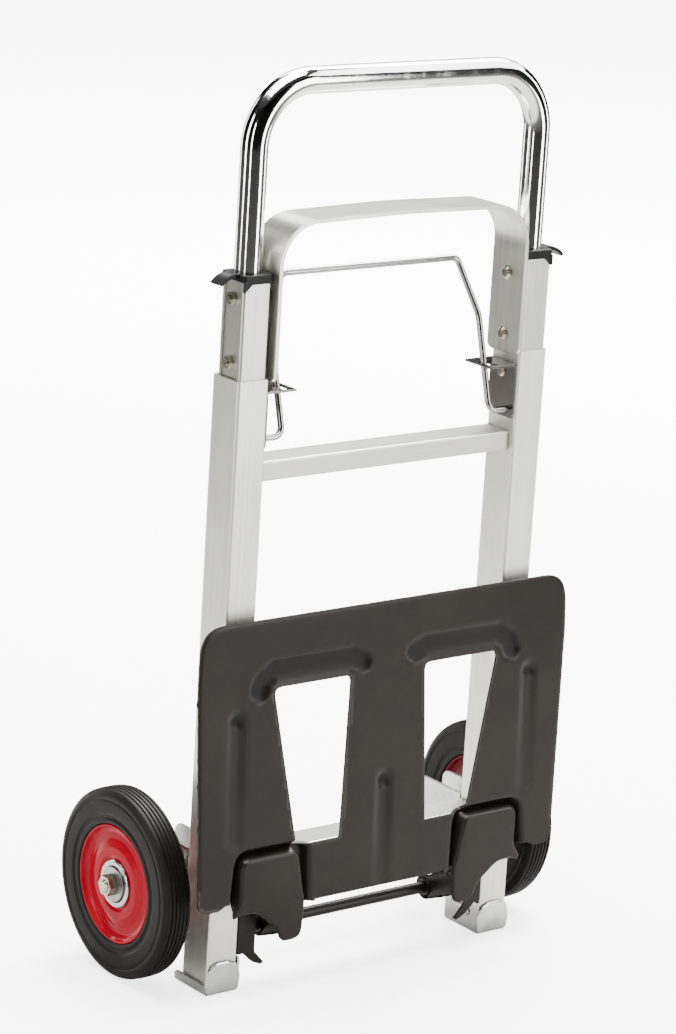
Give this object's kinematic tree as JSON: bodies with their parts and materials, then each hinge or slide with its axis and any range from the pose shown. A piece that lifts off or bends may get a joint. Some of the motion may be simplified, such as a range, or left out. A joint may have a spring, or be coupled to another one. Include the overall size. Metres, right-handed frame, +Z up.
{
  "type": "hand truck",
  "caption": "Folding two-wheel hand truck: box-section aluminium stiles, telescoping chromed loop handle with strap and release bail, fold-down black toe plate, red disc wheels.",
  "frame": {"origin": "centre of the footprint, on the ground under the feet and wheels, with the toe plate folded up and the handle pushed in", "axes": "+Z up along the stiles; -Y faces the load and the toe plate; +Y points to the wheels; +X to the truck's side, which is the viewer's right seen from the load side"},
  "size_m": [0.4658, 0.195, 0.829],
  "materials": {
    "stile_aluminium": "satin anodised extrusion, fine lengthwise grain",
    "crossbar_aluminium": "satin anodised extrusion",
    "inner_stile_aluminium": "satin anodised extrusion",
    "strap_aluminium": "satin flat bar",
    "zinc_sheet": "bright bluish zinc plating on bent sheet",
    "zinc_fasteners": "zinc plated",
    "washer_steel": "dull grey plated washer",
    "handle_chrome": "polished chrome tube",
    "bail_chrome": "polished chrome rod",
    "lock_plate_steel": "bright plated sheet",
    "black_hinge_steel": "semi-gloss black",
    "toe_plate_paint": "semi-gloss black paint with worn brownish edges",
    "cap_plastic": "black moulded plastic",
    "guide_plastic": "black moulded plastic",
    "tyre_rubber": "solid black rubber",
    "disc_red_paint": "glossy red paint",
    "hub_zinc": "bright zinc plated hub ring",
    "bearing_steel": "steel bearing ring"
  },
  "bodies": {
    "frame": {"stile_left": "stile_aluminium", "stile_right": "stile_aluminium", "upper_crossbar": "crossbar_aluminium", "lower_crossbar": "crossbar_aluminium", "foot_left": "zinc_sheet", "foot_right": "zinc_sheet", "foot_rivets": "zinc_fasteners", "axle_bracket_left": "zinc_sheet", "axle_bracket_right": "zinc_sheet", "bracket_rivets": "zinc_fasteners", "axle": "zinc_fasteners", "axle_spacers": "zinc_fasteners", "axle_washers": "washer_steel", "axle_nuts": "zinc_fasteners", "hinge_rod": "black_hinge_steel", "hinge_bracket_left": "black_hinge_steel", "hinge_bracket_right": "black_hinge_steel", "lock_plate_left": "lock_plate_steel", "lock_plate_right": "lock_plate_steel", "lock_plate_rivets": "zinc_fasteners", "guide_pad_left": "guide_plastic", "guide_pad_right": "guide_plastic"},
    "handle": {"inner_stile_left": "inner_stile_aluminium", "inner_stile_right": "inner_stile_aluminium", "glide_block_left": "guide_plastic", "glide_block_right": "guide_plastic", "strap": "strap_aluminium", "strap_spacers": "zinc_fasteners", "handle_tube": "handle_chrome", "strap_bolts": "zinc_fasteners", "strap_nuts": "zinc_fasteners", "cap_left": "cap_plastic", "cap_right": "cap_plastic"},
    "bail": {"release_bail": "bail_chrome"},
    "toe_plate": {"toe_plate": "toe_plate_paint", "knuckle_left": "toe_plate_paint", "knuckle_right": "toe_plate_paint", "hinge_bush_left": "black_hinge_steel", "hinge_bush_right": "black_hinge_steel"},
    "wheel_left": {"tyre_left": "tyre_rubber", "rim_disc_outer_left": "disc_red_paint", "rim_disc_inner_left": "disc_red_paint", "hub_left": "hub_zinc", "bearings_left": "bearing_steel"},
    "wheel_right": {"tyre_right": "tyre_rubber", "rim_disc_outer_right": "disc_red_paint", "rim_disc_inner_right": "disc_red_paint", "hub_right": "hub_zinc", "bearings_right": "bearing_steel"}
  },
  "joints": [
    {"name": "handle_slide", "type": "slide", "parent": "frame", "child": "handle", "axis": [0, 0, 1], "range_m": [0, 0.24]},
    {"name": "bail_pivot", "type": "hinge", "parent": "frame", "child": "bail", "pos_m": [0, -0.06345, 0.508], "axis": [1, 0, 0], "range_deg": [0, 15]},
    {"name": "toe_plate_hinge", "type": "hinge", "parent": "frame", "child": "toe_plate", "pos_m": [0, -0.05445, 0.051], "axis": [1, 0, 0], "range_deg": [0, 92.3]},
    {"name": "wheel_left_spin", "type": "hinge", "parent": "frame", "child": "wheel_left", "pos_m": [-0.2085, 0.00995, 0.0875], "axis": [1, 0, 0], "continuous": true},
    {"name": "wheel_right_spin", "type": "hinge", "parent": "frame", "child": "wheel_right", "pos_m": [0.2085, 0.00995, 0.0875], "axis": [1, 0, 0], "continuous": true}
  ]
}
